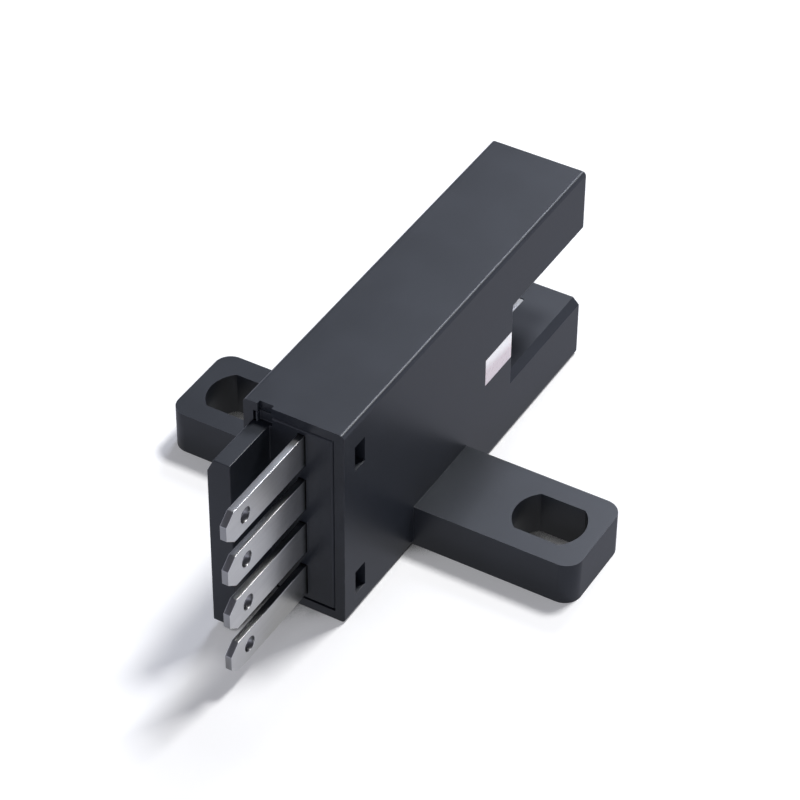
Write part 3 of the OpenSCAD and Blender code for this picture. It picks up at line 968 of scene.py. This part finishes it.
@dataclass
class TerminalRow:
    """The four flat terminals, stamped from one plan.

    Attributes:
        count: Number of terminals.
        blade_w: Width of a blade.
        tip_l: Length of the tapered tip.
        tip_cut: Height taken off each side at the tip.
        wire_d: Diameter of the wire hole.
        wire_inset: Distance from the tip to the wire hole.
        shoulder_l: Length of the shoulder behind the cover.
        tail_w: Width of the tail on the board.
        tail_l: Length of that tail.
        edge: Rounding of the stamped edges.
        SIZES: Names of the plan's lengths.
        OUTLINE: Corners along one side, each by the names of its length and its half width.
        HOLE_SIDES: Number of sides that draw the wire hole.
    """

    count: int = 4
    blade_w: float = 2.0 * MM
    tip_l: float = 0.7 * MM
    tip_cut: float = 0.55 * MM
    wire_d: float = 0.9 * MM
    wire_inset: float = 1.75 * MM
    shoulder_l: float = 0.6 * MM
    tail_w: float = 1.2 * MM
    tail_l: float = 2.5 * MM
    edge: float = 0.035 * MM

    SIZES = (
        "Tip", "Taper End", "Shoulder Start", "Shoulder End", "Tail End", "Tip Half", "Blade Half",
        "Shoulder Half", "Tail Half", "Hole Place", "Hole Radius", "Side", "Thickness", "Height",
    )
    OUTLINE = (
        ("Tip", "Tip Half"),
        ("Taper End", "Blade Half"),
        ("Shoulder Start", "Blade Half"),
        ("Shoulder Start", "Shoulder Half"),
        ("Shoulder End", "Shoulder Half"),
        ("Shoulder End", "Tail Half"),
        ("Tail End", "Tail Half"),
    )
    HOLE_SIDES = 40

    def plan(self) -> Plan:
        """Draws the plan of one terminal.

        The outline lies in the tree's XY plane, with the length along X, and is stood up at the end.

        Returns:
            The plan.
        """
        plan = Plan("stamped_terminal", self.SIZES, ("Plating",))
        sketch = plan.sketch
        given = plan.given
        lengths, halves = zip(*self.OUTLINE)
        last = 2 * len(lengths) - 1
        index = sketch.add("GeometryNodeInputIndex").outputs[0]
        mirrored = sketch.math("SUBTRACT", last, index)
        place = sketch.math("MINIMUM", index, mirrored)
        side = sketch.math("SIGN", sketch.math("SUBTRACT", mirrored, index))
        along = self.pick(plan, place, lengths)
        across = sketch.math("MULTIPLY", side, self.pick(plan, place, halves))
        row = sketch.add("GeometryNodeMeshLine")
        row.inputs["Count"].default_value = last + 1
        corners = {"Geometry": row.outputs[0], "Position": plan.point(along, across, 0.0)}
        outline = sketch.add("GeometryNodeSetPosition", corners).outputs[0]
        path = sketch.add("GeometryNodeMeshToCurve", {"Mesh": outline}).outputs[0]
        loop = sketch.add("GeometryNodeSetSplineCyclic", {"Geometry": path, "Cyclic": True}).outputs[0]
        ring = sketch.add("GeometryNodeCurvePrimitiveCircle", {"Radius": given["Hole Radius"]})
        ring.inputs["Resolution"].default_value = self.HOLE_SIDES
        shift = {"Geometry": ring.outputs[0], "Translation": plan.point(given["Hole Place"], 0.0, 0.0)}
        hole = sketch.add("GeometryNodeTransform", shift).outputs[0]
        sheet = sketch.add("GeometryNodeFillCurve", {"Curve": plan.join(loop, hole)}, mode="NGONS").outputs[0]
        rise = {
            "Mesh": sheet,
            "Offset": (0.0, 0.0, 1.0),
            "Offset Scale": given["Thickness"],
            "Individual": False,
        }
        raised = sketch.add("GeometryNodeExtrudeMesh", rise).outputs["Mesh"]
        under = sketch.add("GeometryNodeFlipFaces", {"Mesh": sheet}).outputs[0]
        weld = {"Geometry": plan.join(raised, under), "Distance": Workshop.WELD}
        solid = sketch.add("GeometryNodeMergeByDistance", weld).outputs[0]
        spot = sketch.add("GeometryNodeInputPosition").outputs[0]
        lying = sketch.add("ShaderNodeSeparateXYZ", {"Vector": spot}).outputs
        outward = sketch.math("ADD", lying["Z"], given["Side"])
        upward = sketch.math("ADD", lying["Y"], given["Height"])
        stood = {"Geometry": solid, "Position": plan.point(outward, lying["X"], upward)}
        blade = sketch.add("GeometryNodeSetPosition", stood).outputs[0]
        plan.finish(plan.paint(blade, "Plating"))
        return plan

    @staticmethod
    def pick(plan: Plan, place: Socket, labels: Sequence[str]) -> Socket:
        """Picks one of the plan's inputs by its place in a list.

        Args:
            plan: The plan.
            place: The place in the list.
            labels: The inputs' names.

        Returns:
            The picked value.
        """
        switch = plan.sketch.add("GeometryNodeIndexSwitch", {"Index": place}, data_type="FLOAT")
        for number, label in enumerate(labels):
            if number >= len(switch.index_switch_items):
                switch.index_switch_items.new()
            plan.sketch.feed(switch.inputs[number + 1], plan.given[label])
        return switch.outputs[0]

    def sizes(self, node: str) -> dict[str, object]:
        """Works out a terminal's inputs from its place in the frame.

        Args:
            node: The terminal's node.

        Returns:
            The plan's inputs.
        """
        low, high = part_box(node)
        shoulder_end = high.y - self.tail_l
        return {
            "Tip": low.y,
            "Taper End": low.y + self.tip_l,
            "Shoulder Start": shoulder_end - self.shoulder_l,
            "Shoulder End": shoulder_end,
            "Tail End": high.y,
            "Tip Half": self.blade_w / 2 - self.tip_cut,
            "Blade Half": self.blade_w / 2,
            "Shoulder Half": (high.z - low.z) / 2,
            "Tail Half": self.tail_w / 2,
            "Hole Place": low.y + self.wire_inset,
            "Hole Radius": self.wire_d / 2,
            "Side": low.x,
            "Thickness": high.x - low.x,
            "Height": (low.z + high.z) / 2,
            "Plating": TIN_PLATE.material(),
        }

    def build(self) -> None:
        """Stamps the four terminals."""
        plan = self.plan()
        for number in range(1, self.count + 1):
            node = f"terminal_{number}"
            piece = plan.make(f"{node}_blade", self.sizes(node))
            Workshop.round_edges(piece, self.edge, segments=2)
            Workshop.settle(piece)
            Workshop.hand_over(piece, [node], Slot.TIN)


@dataclass
class ChipParts:
    """The chip resistors and the chip capacitor, each a ceramic body between two metal end caps.

    Attributes:
        cap_l: Length of an end cap.
        step: Step of the end caps over the body.
        edge: Rounding of their edges.
        CAPS: Number of end caps.
        SIZES: Names of the plan's lengths.
        CERAMICS: Finish and slot of each node's ceramic body.
    """

    cap_l: float = 0.3 * MM
    step: float = 0.03 * MM
    edge: float = 0.03 * MM

    CAPS = 2
    SIZES = ("Length", "Width", "Rise", "Cap", "Step", "Face", "Middle", "Height")
    CERAMICS = {
        "led_resistor": (CERAMIC_BLACK, Slot.RESISTOR),
        "indicator_resistor": (CERAMIC_BLACK, Slot.RESISTOR),
        "pullup_resistor": (CERAMIC_BLACK, Slot.RESISTOR),
        "base_resistor": (CERAMIC_BLACK, Slot.RESISTOR),
        "bypass_capacitor": (CERAMIC_TAN, Slot.CAPACITOR),
    }

    def plan(self) -> Plan:
        """Draws the plan of one chip.

        Returns:
            The plan.
        """
        plan = Plan("chip_part", self.SIZES, ("Ceramic", "Plating"))
        sketch = plan.sketch
        given = plan.given
        between = sketch.math("MULTIPLY_ADD", given["Cap"], -2.0, given["Length"])
        body_rise = sketch.math("SUBTRACT", given["Rise"], given["Step"])
        body_w = sketch.math("MULTIPLY_ADD", given["Step"], -2.0, given["Width"])
        body = sketch.add("GeometryNodeMeshCube", {"Size": plan.point(body_rise, between, body_w)}).outputs[0]
        body_x = sketch.math("MULTIPLY_ADD", body_rise, 0.5, given["Face"])
        seat = {"Geometry": body, "Translation": plan.point(body_x, given["Middle"], given["Height"])}
        seated = sketch.add("GeometryNodeTransform", seat).outputs[0]
        cap_size = plan.point(given["Rise"], given["Cap"], given["Width"])
        cap = sketch.add("GeometryNodeMeshCube", {"Size": cap_size}).outputs[0]
        apart = sketch.math("SUBTRACT", given["Length"], given["Cap"])
        first_y = sketch.math("MULTIPLY_ADD", apart, -0.5, given["Middle"])
        cap_x = sketch.math("MULTIPLY_ADD", given["Rise"], 0.5, given["Face"])
        first = plan.point(cap_x, first_y, given["Height"])
        ends = {"Start Location": first, "Offset": plan.point(0.0, apart, 0.0)}
        row = sketch.add("GeometryNodeMeshLine", ends)
        row.inputs["Count"].default_value = self.CAPS
        stamp = {"Points": row.outputs[0], "Instance": cap}
        caps = sketch.add("GeometryNodeInstanceOnPoints", stamp).outputs[0]
        plan.finish(plan.join(plan.paint(seated, "Ceramic"), plan.paint(caps, "Plating")))
        return plan

    def build(self) -> None:
        """Makes every chip from the plan."""
        plan = self.plan()
        for node, (ceramic, slot) in self.CERAMICS.items():
            low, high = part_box(node)
            middle = (low + high) / 2
            values = {
                "Length": high.y - low.y,
                "Width": high.z - low.z,
                "Rise": high.x - low.x,
                "Cap": self.cap_l,
                "Step": self.step,
                "Face": low.x,
                "Middle": middle.y,
                "Height": middle.z,
                "Ceramic": ceramic.material(),
                "Plating": LEAD_SILVER.material(),
            }
            piece = plan.make(f"{node}_chip", values)
            Workshop.round_edges(piece, self.edge, segments=2)
            Workshop.settle(piece)
            Workshop.hand_over(piece, [node], slot)


@dataclass
class BoardAssembly:
    """The circuit board and the parts on it that keep their frame shapes.

    Attributes:
        FINISHES: Finish of each node.
    """

    FINISHES = {
        "circuit_board": BOARD_GREEN,
        "terminal_solder": SOLDER_GREY,
        "emitter": RESIN_CLEAR,
        "emitter_leads": LEAD_SILVER,
        "receiver": RESIN_DARK,
        "receiver_leads": LEAD_SILVER,
        "indicator_led": RESIN_CLEAR,
        "output_transistor": EPOXY_BLACK,
        "transistor_leads": LEAD_SILVER,
        "protection_diode": EPOXY_BLACK,
    }

    def build(self) -> None:
        """Dresses the board and its parts."""
        for node, finish in self.FINISHES.items():
            Workshop.dress(node, finish)


@dataclass(frozen=True)
class Lamp:
    """A square soft lamp that faces the object.

    Attributes:
        name: The lamp's name.
        direction: Direction from the object to the lamp.
        distance: Distance from the object to the lamp.
        size: Side of the lamp.
        power: Its power in watts.
        tint: Colour of its light.
    """

    name: str
    direction: Direction
    distance: float
    size: float
    power: float
    tint: Colour = WHITE

    def hang(self, target: Vector) -> None:
        """Hangs the lamp.

        Args:
            target: Point that it faces.
        """
        light = bpy.data.lights.new(self.name, "AREA")
        light.size = self.size
        light.energy = self.power
        light.color = self.tint
        lamp = bpy.data.objects.new(self.name, light)
        direction = Vector(self.direction)
        lamp.location = target + direction.normalized() * self.distance
        lamp.rotation_euler = direction.to_track_quat("Z", "Y").to_euler()
        bpy.context.scene.collection.objects.link(lamp)


@dataclass
class Studio:
    """A pale floor, a key lamp, a tinted lamp behind, light from all round and the camera.

    Attributes:
        eye: Place of the camera.
        target: Point that it looks at.
        roll: Its turn about the line of sight.
        lens: Its focal length in millimetres.
        sensor: Width of its sensor in millimetres.
        near: Nearest distance that it shows.
        tint: Colour of the light from all round.
        horizon: Level of the light from low down all round.
        ceiling: Level of the light from above.
        ceiling_from: Height angle where the ceiling begins to take over.
        ceiling_full: Height angle where it has taken over.
        floor_seen: Colour of the floor to the camera, nearly white.
        floor_grey: Colour of the floor in the light that it throws on the object.
        floor_painted_shade: Brightness of the floor's painted shade deep in a nook, as a share of its colour
            to the camera.
        floor_lift: Brightness added to the floor, so that it shows white.
        floor_gap: Distance from the object down to the floor.
        floor_reach: Half the side of the floor.
        LAMPS: The two lamps.
    """

    eye: Vector = Vector((64.408, -110.583, 116.025)) * MM
    target: Vector = Vector((-0.122, 0.962, 6.048)) * MM
    roll: float = math.radians(0.484)
    lens: float = 140.78
    sensor: float = 36.0
    near: float = 10.0 * MM
    tint: Colour = (0.94, 0.96, 1.16)
    horizon: float = 1.0
    ceiling: float = 0.1
    ceiling_from: float = math.radians(5.0)
    ceiling_full: float = math.radians(30.0)
    floor_seen: Colour = (0.85, 0.85, 0.85)
    floor_grey: Colour = (0.21, 0.22, 0.27)
    floor_painted_shade: float = 0.05
    floor_lift: float = 0.24
    floor_gap: float = 0.01 * MM
    floor_reach: float = 3.0

    LAMPS = (
        Lamp("key_lamp", (0.14, 0.41, 0.9), distance=0.5, size=0.09, power=2.0),
        Lamp(
            "back_lamp", (-0.11, 0.695, 0.71), distance=0.6, size=0.13, power=0.88, tint=(0.91, 0.97, 1.14)
        ),
    )

    def build(self) -> None:
        """Sets up the floor, the lamps, the sky and the camera."""
        self.lay_floor()
        for lamp in self.LAMPS:
            lamp.hang(self.target)
        self.light_sky()
        self.stand_camera()
        bpy.context.scene.view_settings.view_transform = "Standard"

    def lay_floor(self) -> None:
        """Lays the floor just under the object, with painted shade deep in its nooks."""
        mesh = bpy.data.meshes.new("floor")
        reach = self.floor_reach
        corners = [(-reach, -reach), (reach, -reach), (reach, reach), (-reach, reach)]
        mesh.from_pydata([(x, y, -self.floor_gap) for x, y in corners], [], [range(len(corners))])
        floor = Workshop.link("floor", mesh)
        paper = bpy.data.materials.new("floor_paper")
        paper.use_nodes = True
        shader = paper.node_tree.nodes["Principled BSDF"]
        shader.inputs["Roughness"].default_value = 1.0
        shader.inputs["Specular IOR Level"].default_value = 0.0
        shader.inputs["Emission Color"].default_value = opaque(WHITE)
        sketch = Sketch(paper.node_tree)
        seen = sketch.add("ShaderNodeLightPath").outputs["Is Camera Ray"]
        # Painted shade: to the camera the floor darkens and loses its lift deep in nooks, such as under the
        # mounting holes.
        openness = Finish.effect(sketch, Effects.nook(), {}).outputs["Openness"]
        dark = opaque(tuple(self.floor_painted_shade * part for part in self.floor_seen))
        shaded = sketch.blend(openness, dark, opaque(self.floor_seen))
        sketch.feed(shader.inputs["Base Color"], sketch.blend(seen, opaque(self.floor_grey), shaded))
        hidden = sketch.math("MULTIPLY", seen, sketch.math("SUBTRACT", 1.0, openness))
        lift = sketch.math("MULTIPLY", sketch.math("SUBTRACT", 1.0, hidden), self.floor_lift)
        sketch.feed(shader.inputs["Emission Strength"], lift)
        mesh.materials.append(paper)

    def light_sky(self) -> None:
        """Lights the object from low down all round, and much less from above."""
        world = bpy.data.worlds.new("studio")
        world.use_nodes = True
        bpy.context.scene.world = world
        sketch = Sketch(world.node_tree)
        direction = sketch.add("ShaderNodeTexCoord").outputs["Generated"]
        up = sketch.add("ShaderNodeSeparateXYZ", {"Vector": direction}).outputs["Z"]
        share = sketch.spread(up, math.sin(self.ceiling_from), math.sin(self.ceiling_full))
        strength = sketch.math("MULTIPLY_ADD", share, self.ceiling - self.horizon, self.horizon)
        sketch.feed(world.node_tree.nodes["Background"].inputs["Strength"], strength)
        world.node_tree.nodes["Background"].inputs["Color"].default_value = opaque(self.tint)

    def stand_camera(self) -> None:
        """Stands the camera where the photograph was taken from."""
        data = bpy.data.cameras.new("camera")
        data.lens = self.lens
        data.sensor_width = self.sensor
        data.clip_start = self.near
        camera = bpy.data.objects.new("camera", data)
        turn = (self.eye - self.target).to_track_quat("Z", "Y").to_matrix().to_4x4()
        roll = Matrix.Rotation(self.roll, 4, "Z")
        camera.matrix_world = Matrix.Translation(self.eye) @ turn @ roll
        bpy.context.scene.collection.objects.link(camera)
        bpy.context.scene.camera = camera


def main() -> None:
    """Builds the studio and every sub-assembly in order."""
    logging.basicConfig(level=logging.INFO, format="%(message)s")
    Studio().build()
    Housing().build()
    RearCover().build()
    LightPieces().build()
    TerminalRow().build()
    ChipParts().build()
    BoardAssembly().build()


if __name__ == "__main__":
    main()
